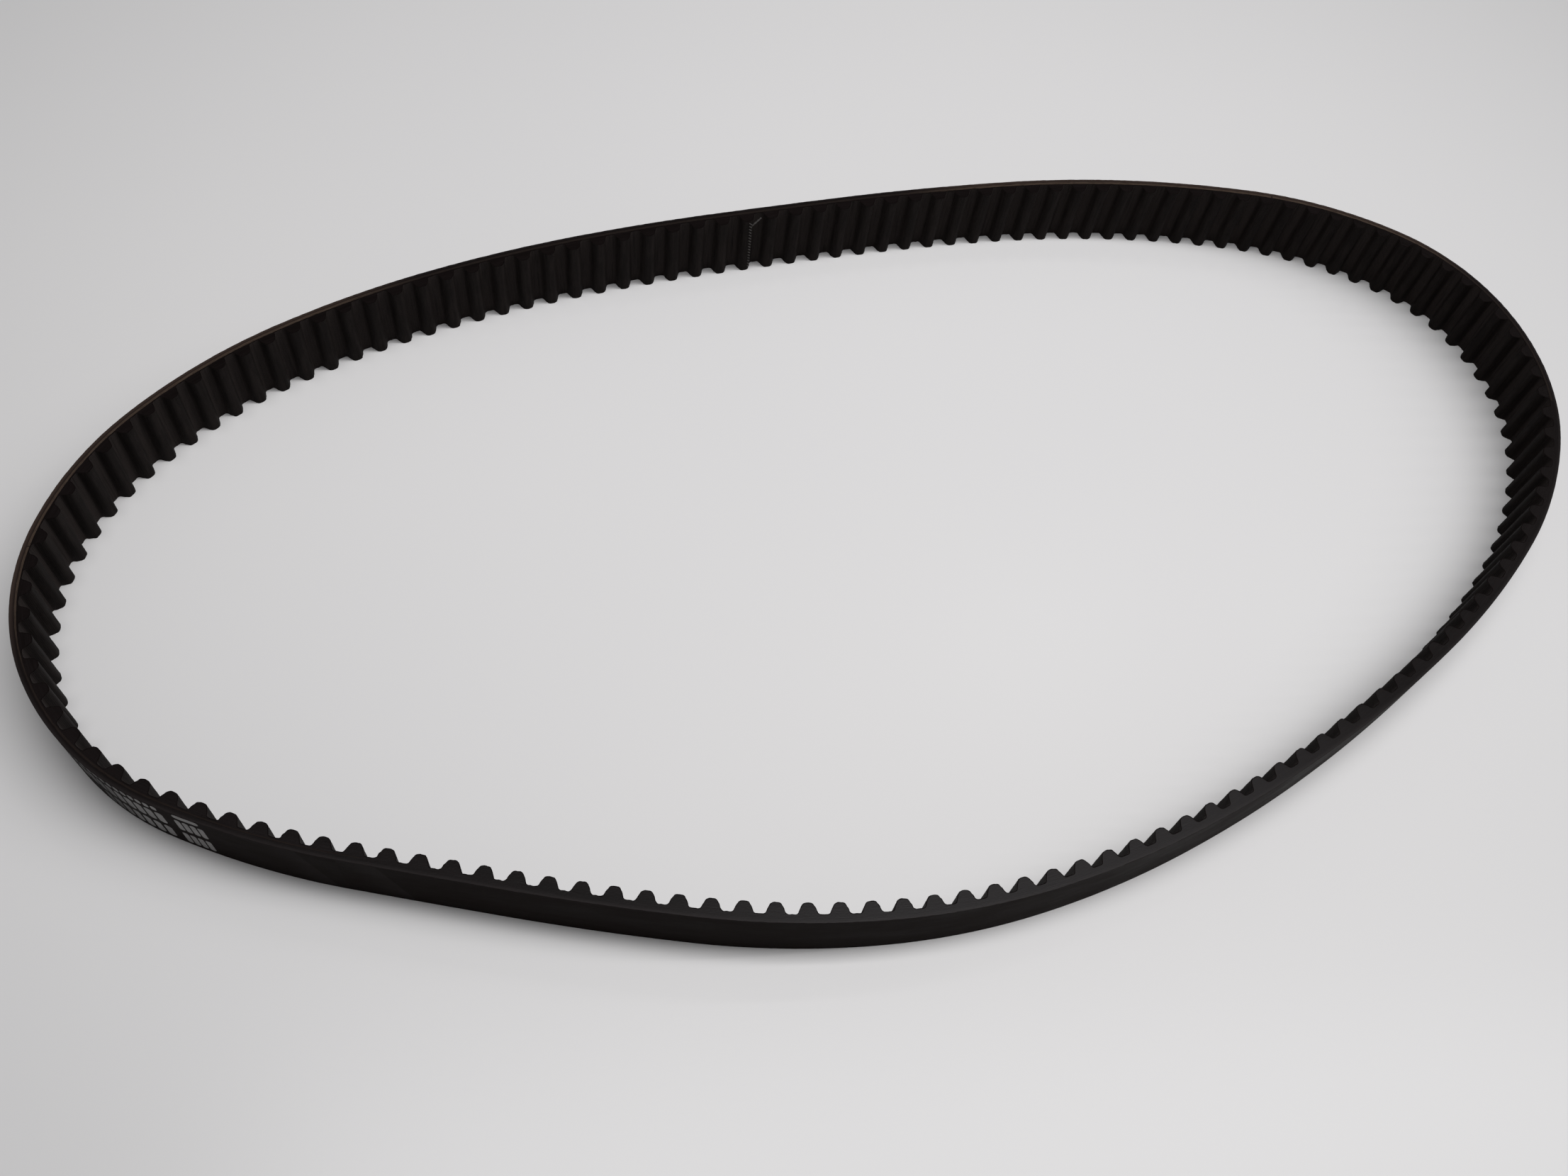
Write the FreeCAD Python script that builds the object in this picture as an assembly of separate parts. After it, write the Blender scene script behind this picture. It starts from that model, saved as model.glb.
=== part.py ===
# Toothed drive belt lying open on its cut edge: 138 curved teeth at 8 mm pitch, 23 mm wide.
#
# The belt is one flexible ring.  It is divided into twelve stretches ("spans") of 11 or 12 teeth that are
# joined at lands between two teeth, on the cord line, where a belt really bends.  Each span holds the four
# layers of a moulded belt: back rubber, the cords wound inside it, tooth rubber and the tooth fabric.
#
# Plan view points are complex numbers in millimetres (x + iy); the inside of the loop is to the left.
import FreeCAD, Part
import cmath
import math
import os

# Belt section
PITCH = 8.0
WIDTH = 23.0
BACK_DEPTH = 1.564          # cord line to the back face
LAND_DEPTH = 0.686          # cord line to the fabric surface between teeth
TOOTH_HEIGHT = 2.95
FLANK_RADIUS = 8.3          # of each flank's arc
FLANK_REACH = 5.435         # the arc's centre lies this far beyond the middle of the tooth
FLANK_DROP = 2.2            # and this far behind the fabric surface between teeth
TIP_RADIUS = 1.25
ROOT_RADIUS = 0.8
FABRIC = 0.2                # thickness of the facing fabric
SEAT_DEPTH = LAND_DEPTH - FABRIC

# Tensile cords: one glass cord wound round and round, cut through where it meets the belt's edges
CORD_RADIUS = 0.42
CORD_PITCH = 1.22
FIRST_CORD_HEIGHT = 23.356  # height of the uppermost turn in the first span
LEAST_CORD = 0.15           # a thinner sliver than this at a cut edge is left out
GRAZE = 0.1                 # a turn that a cut edge would only shave by this much lies just inside the edge
EDGE_COVER = 0.03           # rubber between such a turn and the cut edge

# Bending between spans
MAX_BEND = math.radians(15.0)
BEND_SLACK = 0.02

# Lie of the loop: each span is two arcs of the cord line, given as (teeth, degrees of turn)
START_HEADING = math.radians(39.2)
SPANS = (
    ((5, 20.0), (6, 39.0)),
    ((6, 40.5), (6, 21.5)),
    ((5, 7.5), (6, 8.0)),
    ((6, 3.5), (6, 1.5)),
    ((5, 3.5), (6, 6.5)),
    ((6, 9.5), (6, 18.0)),
    ((5, 25.5), (6, 43.5)),
    ((6, 37.0), (6, 12.5)),
    ((5, 0.5), (6, 3.5)),
    ((6, 11.0), (6, 13.0)),
    ((5, 8.5), (6, 7.5)),
    ((6, 6.5), (6, 11.5)),
)
TUNED_ARCS = (2, 12, 19)    # the three arcs whose turn is trimmed so that the loop closes

# Stitches that join the facing fabric, on one flank of one tooth
SEAM_SPAN = 3
SEAM_TOOTH = 10
STITCH_RADIUS = 0.22
STITCH_LENGTH = 1.5
STITCH_SPACING = 1.35
STITCH_SLANT = math.radians(35.0)
STITCHES = 16

# Printed marks on the back face of one span: plain bars, not characters
PRINT_SPAN = 7
INK = 0.04
# each row: start along the span, bar length, height of the lower edge, bar height, number of bars, step
PRINT_ROWS = (
    (24.55, 1.5, 20.0, 2.5, 12, 2.15),
    (24.5, 2.2, 11.4, 7.0, 9, 2.95),
    (29.8, 2.2, 2.2, 7.0, 7, 3.05),
    (54.0, 7.0, 20.2, 2.3, 1, 7.0),
    (53.6, 1.6, 11.4, 7.0, 4, 2.1),
    (53.3, 1.6, 2.0, 7.0, 4, 2.1),
)


class Arc:
    """One arc of the cord line, turning left about its centre."""

    def __init__(self, start, heading, length, turn):
        self.start = start
        self.heading = heading
        self.length = length
        self.turn = turn
        self.radius = length / turn
        self.centre = start + 1j * self.radius * cmath.exp(1j * heading)

    def direction(self, distance):
        return cmath.exp(1j * (self.heading + distance / self.radius))

    def point(self, distance, depth=0.0):
        """The point this far along, moved towards the inside of the loop by depth."""
        return self.centre - 1j * (self.radius - depth) * self.direction(distance)


def chain(turns, start, heading):
    """The arcs end to end, with these turns."""
    arcs = []
    counts = [teeth for span in SPANS for teeth, _ in span]
    for teeth, turn in zip(counts, turns):
        arc = Arc(start, heading, teeth * PITCH, turn)
        arcs.append(arc)
        start = arc.point(arc.length)
        heading += turn
    return arcs


def closed_turns():
    """The listed turns, with three of them trimmed so that the loop closes on itself."""
    turns = [math.radians(degrees) for span in SPANS for _, degrees in span]
    first, second, third = TUNED_ARCS
    turns[third] += 2 * math.pi - sum(turns)
    for _ in range(20):
        arcs = chain(turns, 0j, 0.0)
        gap = arcs[-1].point(arcs[-1].length)
        middles = [arc.point(arc.length / 2) for arc in arcs]
        swing_first = 1j * (middles[third] - middles[first])
        swing_second = 1j * (middles[third] - middles[second])
        area = (swing_first.conjugate() * swing_second).imag
        trim_first = ((-gap).conjugate() * swing_second).imag / area
        trim_second = (swing_first.conjugate() * -gap).imag / area
        turns[first] += trim_first
        turns[second] += trim_second
        turns[third] -= trim_first + trim_second
    return turns


def centred_arcs():
    """The closed loop with its long axis on X and its bounding box centred on the origin."""
    turns = closed_turns()
    arcs = chain(turns, 0j, START_HEADING)
    steps = 400
    outline = [arc.point(arc.length * step / steps, -BACK_DEPTH) for arc in arcs for step in range(steps)]
    xs = [point.real for point in outline]
    ys = [point.imag for point in outline]
    middle = complex(max(xs) + min(xs), max(ys) + min(ys)) / 2
    return chain(turns, -middle, START_HEADING)


def vector(point, height=0.0):
    return FreeCAD.Vector(point.real, point.imag, height)


def unit(direction):
    return direction / abs(direction)


def meeting(centre_a, radius_a, centre_b, radius_b):
    """Where two circles cross, on the right of the line from centre_a to centre_b."""
    between = centre_b - centre_a
    apart = abs(between)
    along = (apart ** 2 + radius_a ** 2 - radius_b ** 2) / (2 * apart)
    aside = math.sqrt(radius_a ** 2 - along ** 2)
    return centre_a + unit(between) * complex(along, -aside)


def bulge(start, end, centre, radius):
    """A segment (start, middle, end) round the shorter way about a centre."""
    return (start, centre + radius * unit(unit(start - centre) + unit(end - centre)), end)


def mirrored(segments):
    """The same segments on the other side of the tooth, so that they run towards its tip."""
    def flip(point):
        return None if point is None else complex(-point.real, point.imag)
    return [(flip(end), flip(middle), flip(start)) for start, middle, end in reversed(segments)]


# Tooth outlines are in the tooth's own frame: x along the belt, y inwards from the cord line, and only the
# right-hand half is drawn, from the middle of the tip outwards.

FLANK_CENTRE = complex(-FLANK_REACH, LAND_DEPTH - FLANK_DROP)


def crown(height, flank_radius, tip_radius):
    """Half of the tip and its rounded corner, and the point where the flank starts."""
    rise = FLANK_DROP + height - tip_radius
    corner_centre = FLANK_CENTRE + complex(math.sqrt((flank_radius - tip_radius) ** 2 - rise ** 2), rise)
    tip_end = corner_centre + 1j * tip_radius
    flank_start = FLANK_CENTRE + flank_radius * unit(corner_centre - FLANK_CENTRE)
    tip = (complex(0.0, LAND_DEPTH + height), None, tip_end)
    return [tip, bulge(tip_end, flank_start, corner_centre, tip_radius)], flank_start


def fabric_surface(radius, reach):
    """Half of the outside of the fabric, from the tip to a point on the land."""
    segments, flank_start = crown(TOOTH_HEIGHT, FLANK_RADIUS, TIP_RADIUS)
    belt_centre = 1j * radius
    land_radius = radius - LAND_DEPTH
    fillet_centre = meeting(FLANK_CENTRE, FLANK_RADIUS + ROOT_RADIUS, belt_centre, land_radius - ROOT_RADIUS)
    flank_end = FLANK_CENTRE + FLANK_RADIUS * unit(fillet_centre - FLANK_CENTRE)
    land_start = belt_centre + land_radius * unit(fillet_centre - belt_centre)
    land_end = belt_centre - 1j * land_radius * cmath.exp(1j * reach / radius)
    segments.append(bulge(flank_start, flank_end, FLANK_CENTRE, FLANK_RADIUS))
    segments.append(bulge(flank_end, land_start, fillet_centre, ROOT_RADIUS))
    segments.append(bulge(land_start, land_end, belt_centre, land_radius))
    return segments


def core_surface(radius):
    """Half of the tooth rubber under the fabric, from the tip down to the back rubber."""
    flank_radius = FLANK_RADIUS - FABRIC
    segments, flank_start = crown(TOOTH_HEIGHT - FABRIC, flank_radius, TIP_RADIUS - FABRIC)
    foot = meeting(FLANK_CENTRE, flank_radius, 1j * radius, radius - SEAT_DEPTH)
    segments.append(bulge(flank_start, foot, FLANK_CENTRE, flank_radius))
    return segments


def seat_surface(radius, reach):
    """Half of the fabric's underside beside the tooth, from the foot of the tooth to the land's end."""
    belt_centre = 1j * radius
    seat_radius = radius - SEAT_DEPTH
    foot = core_surface(radius)[-1][2]
    seat_end = belt_centre - 1j * seat_radius * cmath.exp(1j * reach / radius)
    return [bulge(foot, seat_end, belt_centre, seat_radius)]


def edges(segments, origin=0j, direction=1):
    """Edges for segments, placed so that their x axis runs along direction from origin."""
    made = []
    for points in segments:
        start, middle, end = [None if point is None else origin + direction * point for point in points]
        if middle is None:
            made.append(Part.LineSegment(vector(start), vector(end)).toShape())
        else:
            made.append(Part.Arc(vector(start), vector(middle), vector(end)).toShape())
    return made


def upright(outline, low=0.0, high=WIDTH):
    """The solid that a closed plan outline makes between two heights."""
    face = Part.Face(Part.Wire(outline))
    solid = face.extrude(FreeCAD.Vector(0, 0, high - low))
    solid.translate(FreeCAD.Vector(0, 0, low))
    return solid


def teeth_of(span):
    """(arc, distance along the arc to the middle of the tooth) for each tooth of a span."""
    return [(arc, (index + 0.5) * PITCH) for arc in span for index in range(round(arc.length / PITCH))]


def end_gap(depth):
    """How far a layer stops short of the bend so that it clears its neighbour at the largest bend."""
    return abs(depth) * math.tan(MAX_BEND / 2) + BEND_SLACK


def tooth_rubber(span):
    solids = []
    for arc, distance in teeth_of(span):
        half = core_surface(arc.radius)
        foot = half[-1][2]
        base = bulge(foot, complex(-foot.real, foot.imag), 1j * arc.radius, arc.radius - SEAT_DEPTH)
        outline = edges(mirrored(half) + half + [base], arc.point(distance), arc.direction(distance))
        solids.append(upright(outline))
    return Part.makeCompound(solids)


def tooth_fabric(span):
    teeth = teeth_of(span)
    gap = end_gap(LAND_DEPTH)
    surface = []
    underside = []
    for number, (arc, distance) in enumerate(teeth):
        before = PITCH / 2 - (gap if number == 0 else 0.0)
        after = PITCH / 2 - (gap if number == len(teeth) - 1 else 0.0)
        place = (arc.point(distance), arc.direction(distance))
        left = mirrored(fabric_surface(arc.radius, before))
        surface += edges(left + fabric_surface(arc.radius, after), *place)
        core = core_surface(arc.radius)
        seat = mirrored(seat_surface(arc.radius, before)) + mirrored(core) + core
        underside += edges(seat + seat_surface(arc.radius, after), *place)
    start = Part.LineSegment(surface[0].firstVertex().Point, underside[0].firstVertex().Point)
    end = Part.LineSegment(surface[-1].lastVertex().Point, underside[-1].lastVertex().Point)
    outline = surface + [end.toShape()] + underside[::-1] + [start.toShape()]
    return upright(outline)


def spine(span, gap):
    """The cord line of a span, short of both of its ends by gap."""
    first, last = span
    path = []
    for arc, begin, end in ((first, gap, first.length), (last, 0.0, last.length - gap)):
        path += edges([(arc.point(begin), arc.point((begin + end) / 2), arc.point(end))])
    return Part.Wire(path)


def clear_of_edge(height):
    """The height of a turn of cord, moved just inside a cut edge that would only shave it."""
    lowest = CORD_RADIUS + EDGE_COVER
    if CORD_RADIUS - GRAZE < height < lowest:
        return lowest
    if CORD_RADIUS - GRAZE < WIDTH - height < lowest:
        return WIDTH - lowest
    return height


def cord_heights(number):
    """Heights of the turns of cord in a span; the winding drops by one pitch in each round of the belt."""
    top = FIRST_CORD_HEIGHT - CORD_PITCH * number / len(SPANS)
    turns = [top - CORD_PITCH * index for index in range(20)]
    reach = CORD_RADIUS - LEAST_CORD
    return [clear_of_edge(height) for height in turns if -reach < height < WIDTH + reach]


def section(span, gap, low_depth, high_depth):
    """Upright rectangle across the belt at the start of a span, between two depths."""
    arc = span[0]
    outer = arc.point(gap, low_depth)
    inner = arc.point(gap, high_depth)
    corners = [vector(outer), vector(inner), vector(inner, WIDTH), vector(outer, WIDTH), vector(outer)]
    return Part.Face(Part.makePolygon(corners))


def cord_discs(span, number, gap):
    arc = span[0]
    along = vector(arc.direction(gap))
    centres = [vector(arc.point(gap), height) for height in cord_heights(number)]
    return [Part.Face(Part.Wire(Part.makeCircle(CORD_RADIUS, centre, along))) for centre in centres]


def back_rubber(span, number):
    gap = end_gap(BACK_DEPTH)
    rectangle = section(span, gap, -BACK_DEPTH, SEAT_DEPTH)
    pierced = rectangle.cut(Part.makeCompound(cord_discs(span, number, gap)))
    return spine(span, gap).makePipe(pierced.Faces[0])


def tensile_cords(span, number):
    gap = end_gap(CORD_RADIUS)
    rectangle = section(span, gap, -BACK_DEPTH, SEAT_DEPTH)
    path = spine(span, gap)
    cords = [path.makePipe(disc.common(rectangle).Faces[0]) for disc in cord_discs(span, number, gap)]
    return Part.makeCompound(cords)


def fabric_seam(span):
    """Slanting stitches in a row up the tooth, lying on the flank beside its tip."""
    arc, distance = teeth_of(span)[SEAM_TOOTH]
    flank_start = crown(TOOTH_HEIGHT, FLANK_RADIUS, TIP_RADIUS)[1]
    outward = unit(flank_start - FLANK_CENTRE)
    centre = flank_start + STITCH_RADIUS * outward
    origin = arc.point(distance)
    direction = arc.direction(distance)
    along_flank = vector(direction * complex(-outward.imag, -outward.real))
    slant = along_flank * math.sin(STITCH_SLANT) + FreeCAD.Vector(0, 0, math.cos(STITCH_SLANT))
    middle = vector(origin + direction * complex(-centre.real, centre.imag))
    lowest = (WIDTH - STITCH_SPACING * (STITCHES - 1)) / 2
    stitches = []
    for index in range(STITCHES):
        base = middle + FreeCAD.Vector(0, 0, lowest + STITCH_SPACING * index) - slant * (STITCH_LENGTH / 2)
        stitches.append(Part.makeCylinder(STITCH_RADIUS, STITCH_LENGTH, base, slant))
    return Part.makeCompound(stitches)


def ink_bar(span, begin, length, low, high):
    """A bar of ink on the back face, on whichever arc of the span it starts on."""
    first, last = span
    arc = first
    if begin >= first.length:
        arc = last
        begin -= first.length
    stations = [begin, begin + length / 2, begin + length]
    under = [arc.point(station, -BACK_DEPTH) for station in stations]
    over = [arc.point(station, -BACK_DEPTH - INK) for station in reversed(stations)]
    outline = [tuple(under), (under[2], None, over[0]), tuple(over), (over[2], None, under[0])]
    return upright(edges(outline), low, high)


def printed_marks(span):
    bars = []
    for begin, length, low, height, count, step in PRINT_ROWS:
        for index in range(count):
            bars.append(ink_bar(span, begin + step * index, length, low, low + height))
    return Part.makeCompound(bars)


def export(name, shape):
    shape.exportStep("parts/" + name + ".step")


os.makedirs("parts", exist_ok=True)
loop = centred_arcs()
spans = [loop[2 * number:2 * number + 2] for number in range(len(SPANS))]
for number, span in enumerate(spans):
    label = "_%02d" % (number + 1)
    export("back_rubber" + label, back_rubber(span, number))
    export("tensile_cords" + label, tensile_cords(span, number))
    export("tooth_rubber" + label, tooth_rubber(span))
    export("tooth_fabric" + label, tooth_fabric(span))
export("fabric_seam", fabric_seam(spans[SEAM_SPAN]))
export("printed_marks", printed_marks(spans[PRINT_SPAN]))
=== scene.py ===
import math

import bmesh
import bpy
import numpy as np
from mathutils import Matrix, Vector


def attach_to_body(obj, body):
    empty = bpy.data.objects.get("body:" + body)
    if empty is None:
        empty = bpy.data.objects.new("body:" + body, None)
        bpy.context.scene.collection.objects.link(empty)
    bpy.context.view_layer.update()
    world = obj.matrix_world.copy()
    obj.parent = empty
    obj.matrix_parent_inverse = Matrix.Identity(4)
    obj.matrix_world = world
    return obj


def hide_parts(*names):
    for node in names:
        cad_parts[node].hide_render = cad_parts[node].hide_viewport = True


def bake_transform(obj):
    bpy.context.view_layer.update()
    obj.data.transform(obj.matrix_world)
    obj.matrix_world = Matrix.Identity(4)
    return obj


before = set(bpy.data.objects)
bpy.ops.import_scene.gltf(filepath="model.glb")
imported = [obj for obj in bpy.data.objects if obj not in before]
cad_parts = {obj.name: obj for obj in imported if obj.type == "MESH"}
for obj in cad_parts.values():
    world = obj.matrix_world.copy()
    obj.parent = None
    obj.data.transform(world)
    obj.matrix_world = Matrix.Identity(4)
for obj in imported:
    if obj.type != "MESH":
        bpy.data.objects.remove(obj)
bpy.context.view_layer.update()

# A toothed drive belt standing on its cut edge.  Shapes are worked out in millimetres.  Plan positions are
# complex numbers (x + iy), the inside of the loop is to the left of the direction of travel, and a point of
# the belt is given by its distance along the cord line, its depth inwards from that line and its height.
MM = 0.001

# Section and lie of the belt, as in the CAD model
PITCH = 8.0
WIDTH = 23.0
BACK_DEPTH = 1.564
LAND_DEPTH = 0.686
TOOTH_HEIGHT = 2.95
FLANK_RADIUS = 8.3
FLANK_REACH = 5.435
FLANK_DROP = 2.2
TIP_RADIUS = 1.25
ROOT_RADIUS = 0.8
FABRIC = 0.2
SEAT_DEPTH = LAND_DEPTH - FABRIC
CORD_RADIUS = 0.42
CORD_PITCH = 1.22
FIRST_CORD_HEIGHT = 23.356
START_HEADING = math.radians(39.2)
SPANS = (
    ((5, 20.0), (6, 39.0)),
    ((6, 40.5), (6, 21.5)),
    ((5, 7.5), (6, 8.0)),
    ((6, 3.5), (6, 1.5)),
    ((5, 3.5), (6, 6.5)),
    ((6, 9.5), (6, 18.0)),
    ((5, 25.5), (6, 43.5)),
    ((6, 37.0), (6, 12.5)),
    ((5, 0.5), (6, 3.5)),
    ((6, 11.0), (6, 13.0)),
    ((5, 8.5), (6, 7.5)),
    ((6, 6.5), (6, 11.5)),
)
TUNED_ARCS = (2, 12, 19)    # the arcs whose turns are trimmed so that the loop closes
OPEN_END = 8                # the loop's two open ends meet at the start of this span

# How finely the surfaces are drawn
PROFILE_STEPS = 26          # along half a pitch of the toothed side
RIGID_ABOVE = 0.8           # a tooth keeps its moulded shape from this far above the land
TURN_POINTS = 10            # round a cord
STEPS_PER_MM = 2            # along the back and the cords
BURIED_STEP = 16            # a turn of cord that shows nowhere keeps only every so many of those points

# How uneven the surfaces are, in millimetres
SLIT_WANDER = 0.04          # height of the upper cut edge
CLOTH_SWELL = 0.022         # facing, everywhere
CLOTH_EDGE_FRAY = 0.035     # facing, within EDGE_REACH of either cut edge
EDGE_REACH = 0.35
CLOTH_TOP_FRAY = 0.05       # height of the facing, within TOP_REACH of the upper cut edge
TOP_REACH = 0.15
CORNER_NICK = 0.07          # the back's corners are this blunt, give or take NICK_RANGE
NICK_RANGE = 0.035
CORD_PROUD = 0.06           # a sliced cord stands this far above the upper edge, give or take CORD_FUZZ
CORD_FUZZ = 0.03
CORD_PROUD_BELOW = 0.03     # and this far below the lower one


def smooth(share):
    share = np.clip(share, 0.0, 1.0)
    return share * share * (3 - 2 * share)


def ripples(seed, count, shortest, longest):
    """A smooth, repeatable unevenness of about -1 to 1, as a function of two lengths in millimetres."""
    dice = np.random.default_rng(seed)
    waves = np.exp(dice.uniform(math.log(shortest), math.log(longest), count))
    headings = dice.uniform(0, math.pi, count)
    phases = dice.uniform(0, 2 * math.pi, count)

    def height(u, v):
        total = 0.0
        for wave, heading, phase in zip(waves, headings, phases):
            along = u * math.cos(heading) + v * math.sin(heading)
            total = total + np.sin(2 * math.pi * along / wave + phase)
        return total / math.sqrt(count)
    return height


slit_wander = ripples(11, 5, 60.0, 400.0)
cloth_swell = ripples(12, 9, 1.2, 7.0)
cloth_fray = ripples(13, 12, 0.45, 1.6)
edge_nicks = ripples(14, 12, 0.7, 5.0)
cord_fuzz = ripples(15, 10, 0.5, 4.0)


class Loop:
    """The cord line in plan: arcs laid end to end, all turning left."""

    def __init__(self, lengths, turns, start, heading):
        self.length = lengths.sum()
        self.radii = lengths / turns
        self.begins = np.concatenate(([0.0], np.cumsum(lengths)[:-1]))
        self.headings = heading + np.concatenate(([0.0], np.cumsum(turns)[:-1]))
        chords = 1j * self.radii * np.exp(1j * self.headings) * (1 - np.exp(1j * turns))
        self.gap = chords.sum()
        starts = start + np.concatenate(([0.0], np.cumsum(chords)[:-1]))
        self.centres = starts + 1j * self.radii * np.exp(1j * self.headings)

    def locate(self, distance):
        """The arc that each distance is on, and the direction of travel there."""
        distance = np.asarray(distance, float) % self.length
        arc = np.searchsorted(self.begins, distance, side="right") - 1
        return arc, np.exp(1j * (self.headings[arc] + (distance - self.begins[arc]) / self.radii[arc]))

    def direction(self, distance):
        return self.locate(distance)[1]

    def point(self, distance, depth):
        arc, direction = self.locate(distance)
        return self.centres[arc] - 1j * (self.radii[arc] - depth) * direction


def closed_loop():
    """The loop with three turns trimmed so that it closes, its bounding box centred on the origin."""
    lengths = np.array([teeth * PITCH for span in SPANS for teeth, _ in span])
    turns = np.radians([degrees for span in SPANS for _, degrees in span])
    first, second, third = TUNED_ARCS
    turns[third] += 2 * math.pi - turns.sum()
    for _ in range(20):
        loop = Loop(lengths, turns, 0j, 0.0)
        middles = loop.point(loop.begins + lengths / 2, 0.0)
        swing_first = 1j * (middles[third] - middles[first])
        swing_second = 1j * (middles[third] - middles[second])
        area = (swing_first.conjugate() * swing_second).imag
        trim_first = ((-loop.gap).conjugate() * swing_second).imag / area
        trim_second = (swing_first.conjugate() * -loop.gap).imag / area
        turns[[first, second, third]] += (trim_first, trim_second, -trim_first - trim_second)
    loop = Loop(lengths, turns, 0j, START_HEADING)
    outline = loop.point(np.arange(0.0, loop.length, 0.1), -BACK_DEPTH)
    middle = complex(outline.real.max() + outline.real.min(), outline.imag.max() + outline.imag.min()) / 2
    return Loop(lengths, turns, -middle, START_HEADING)


loop = closed_loop()


def top_height(distance):
    """Height of the upper cut edge, which wanders a little where the belt was slit from its sleeve."""
    return WIDTH + SLIT_WANDER * slit_wander(distance, 0.0)


def lift(distance, height):
    """A nominal height, stretched to fit between the floor and the upper cut edge."""
    return height * top_height(distance) / WIDTH


class Shape:
    """Points and faces of one piece, in millimetres."""

    def __init__(self):
        self.points = []
        self.grain = []
        self.faces = []
        self.finishes = []
        self.count = 0

    def add_points(self, plan, height, along, depth):
        """Adds a table of points and gives back their numbers, laid out as the table is."""
        plan, height, along, depth = np.broadcast_arrays(plan, height, along, depth)
        self.points.append(np.stack((plan.real, plan.imag, height), -1).reshape(-1, 3))
        self.grain.append(np.stack((along, depth, height), -1).reshape(-1, 3))
        numbers = self.count + np.arange(plan.size).reshape(plan.shape)
        self.count += plan.size
        return numbers

    def add_sheet(self, numbers, finish=0):
        """Quads between the neighbouring rows and columns of a table of point numbers."""
        corners = (numbers[:-1, :-1], numbers[1:, :-1], numbers[1:, 1:], numbers[:-1, 1:])
        quads = np.stack(corners, -1).reshape(-1, 4).tolist()
        self.faces += quads
        self.finishes += [finish] * len(quads)

    def add_face(self, numbers, finish=0):
        self.faces.append([int(number) for number in numbers])
        self.finishes.append(finish)

    def make(self, name, materials, crease=35.0):
        mesh = bpy.data.meshes.new(name)
        points = np.concatenate(self.points) * MM
        mesh.from_pydata(points.tolist(), [], self.faces)
        for material in materials:
            mesh.materials.append(material)
        mesh.polygons.foreach_set("material_index", self.finishes)
        grain = mesh.attributes.new("grain", "FLOAT_VECTOR", "POINT")
        grain.data.foreach_set("vector", np.concatenate(self.grain).astype(np.float32).ravel())
        shell = bmesh.new()
        shell.from_mesh(mesh)
        bmesh.ops.recalc_face_normals(shell, faces=shell.faces)
        shell.to_mesh(mesh)
        shell.free()
        mesh.polygons.foreach_set("use_smooth", [True] * len(mesh.polygons))
        mesh.set_sharp_from_angle(angle=math.radians(crease))
        piece = bpy.data.objects.new(name, mesh)
        bpy.context.scene.collection.objects.link(piece)
        return piece


# Materials.  Every pattern is laid out on the belt itself: "grain" is the distance along the surface, the
# depth and the height of each point in millimetres, so it bends with the belt.

class Finish:
    """A material's node tree, with short calls for the nodes used here."""

    def __init__(self, name):
        self.material = bpy.data.materials.new(name)
        self.material.use_nodes = True
        self.tree = self.material.node_tree
        self.shader = self.tree.nodes["Principled BSDF"]
        self.grain = self.node("ShaderNodeAttribute", attribute_name="grain").outputs["Vector"]
        split = self.node("ShaderNodeSeparateXYZ", {"Vector": self.grain})
        self.along, self.depth, self.height = split.outputs

    def node(self, kind, inputs=None, **settings):
        made = self.tree.nodes.new(kind)
        for name, value in settings.items():
            setattr(made, name, value)
        for name, value in (inputs or {}).items():
            self.feed(made.inputs[name], value)
        return made

    def feed(self, socket, value):
        if isinstance(value, bpy.types.NodeSocket):
            self.tree.links.new(value, socket)
        else:
            socket.default_value = value

    def set(self, name, value):
        self.feed(self.shader.inputs[name], value)

    def noise(self, waves, detail=2.0, roughness=0.5):
        """Noise whose features are about these sizes (mm) along, in depth and in height."""
        rate = tuple(1.0 / wave for wave in waves)
        scaled = self.node("ShaderNodeVectorMath", {0: self.grain, 1: rate}, operation="MULTIPLY")
        inputs = {"Vector": scaled.outputs[0], "Scale": 1.0, "Detail": detail, "Roughness": roughness}
        return self.node("ShaderNodeTexNoise", inputs).outputs[0]

    def ramp(self, value, low, high, start=0.0, end=1.0):
        """A smooth rise from start to end as value goes from low to high."""
        inputs = {"Value": value, "From Min": low, "From Max": high, "To Min": start, "To Max": end}
        return self.node("ShaderNodeMapRange", inputs, interpolation_type="SMOOTHSTEP").outputs[0]

    def sum(self, operation, first, second=0.0):
        return self.node("ShaderNodeMath", {0: first, 1: second}, operation=operation).outputs[0]

    def mix(self, share, first, second):
        colours = [value if isinstance(value, bpy.types.NodeSocket) else (*value, 1.0) for value in (first, second)]
        made = self.node("ShaderNodeMix", {0: share, 6: colours[0], 7: colours[1]}, data_type="RGBA")
        return made.outputs[2]

    def bump(self, height, rise, under=None):
        """Relief of this many millimetres for a height that goes from 0 to 1."""
        inputs = {"Height": height, "Distance": rise * MM, "Strength": 1.0}
        if under is not None:
            inputs["Normal"] = under
        return self.node("ShaderNodeBump", inputs).outputs[0]

    def stretch(self, begin, end, fade):
        """1 between two distances along the belt, fading to 0 at its ends."""
        rise = self.ramp(self.along, begin, begin + fade)
        return self.sum("MULTIPLY", rise, self.ramp(self.along, end - fade, end, 1.0, 0.0))

    def threads(self, value, pitch):
        """Rounded ridges, 0 to 1, one every pitch of a length."""
        turned = self.sum("MULTIPLY", value, 2 * math.pi / pitch)
        return self.sum("MULTIPLY_ADD", self.sum("SINE", turned), 0.5)


# Where along the belt its tones differ, in millimetres.  These follow the tones of the one photo.  Why they
# differ is a guess: the knife, wear and a thin print would do it, and so would the photo's own light.

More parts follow.
